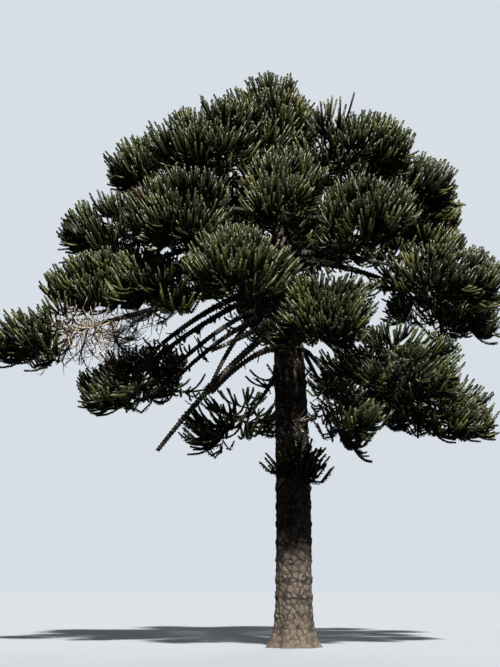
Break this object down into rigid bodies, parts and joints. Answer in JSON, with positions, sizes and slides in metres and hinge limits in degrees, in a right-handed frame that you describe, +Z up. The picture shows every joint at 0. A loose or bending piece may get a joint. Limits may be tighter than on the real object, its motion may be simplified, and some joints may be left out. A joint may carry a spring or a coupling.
{
  "type": "monkey puzzle tree",
  "caption": "Old monkey puzzle tree: a tall bare trunk under a broad umbrella crown of rope-like leafy shoots, with a few dead limbs, rooted in the ground.",
  "frame": {"origin": "middle of the flat cut under the trunk, at ground level", "axes": "+Z up along the trunk, -Y towards the viewer of the picture, +X to that viewer's right"},
  "size_m": [13.6388, 11.9101, 15.143],
  "materials": {
    "trunk_bark": "rough plated bark",
    "bough_bark": "ringed bark",
    "dead_wood": "weathered bare wood",
    "foliage": "leathery leaves"
  },
  "bodies": {
    "root": {"trunk": "trunk_bark", "foliage_top": "foliage", "foliage_upper_front_left": "foliage", "foliage_upper_right": "foliage", "foliage_back_top": "foliage", "bough_upper_left": "bough_bark", "foliage_upper_left": "foliage", "bough_back_upper_right": "bough_bark", "foliage_back_upper_right": "foliage", "bough_back_upper_left": "bough_bark", "foliage_back_upper_left": "foliage", "bough_upper_far_right": "bough_bark", "foliage_upper_far_right": "foliage", "bough_back": "bough_bark", "foliage_back": "foliage", "foliage_front": "foliage", "bough_left": "bough_bark", "foliage_left": "foliage", "bough_front_left": "bough_bark", "foliage_front_left": "foliage", "foliage_front_right": "foliage", "bough_right": "bough_bark", "foliage_right": "foliage", "bough_far_left": "bough_bark", "foliage_far_left": "foliage", "bough_back_left": "bough_bark", "foliage_back_left": "foliage", "bough_back_right": "bough_bark", "foliage_back_right": "foliage", "bough_far_right": "bough_bark", "foliage_far_right": "foliage", "bough_inner_left": "bough_bark", "foliage_inner_left": "foliage", "bough_front_low": "bough_bark", "foliage_front_low": "foliage", "bough_back_low": "bough_bark", "foliage_back_low": "foliage", "bough_back_low_left": "bough_bark", "foliage_back_low_left": "foliage", "bough_long_left": "bough_bark", "foliage_long_left": "foliage", "bough_front_low_right": "bough_bark", "foliage_front_low_right": "foliage", "bough_low_left": "bough_bark", "foliage_low_left": "foliage", "bough_low_right": "bough_bark", "foliage_low_right": "foliage", "bough_back_low_right": "bough_bark", "foliage_back_low_right": "foliage", "bough_dead_upper": "dead_wood", "bough_broken": "dead_wood", "bough_dead": "dead_wood", "bough_lowest_right": "bough_bark", "foliage_lowest_right": "foliage", "foliage_lowest_back": "foliage", "foliage_hanging_right": "foliage", "bough_lowest_front": "bough_bark", "foliage_lowest_front": "foliage", "bough_dead_lower": "dead_wood", "foliage_skirt": "foliage"}
  },
  "joints": []
}
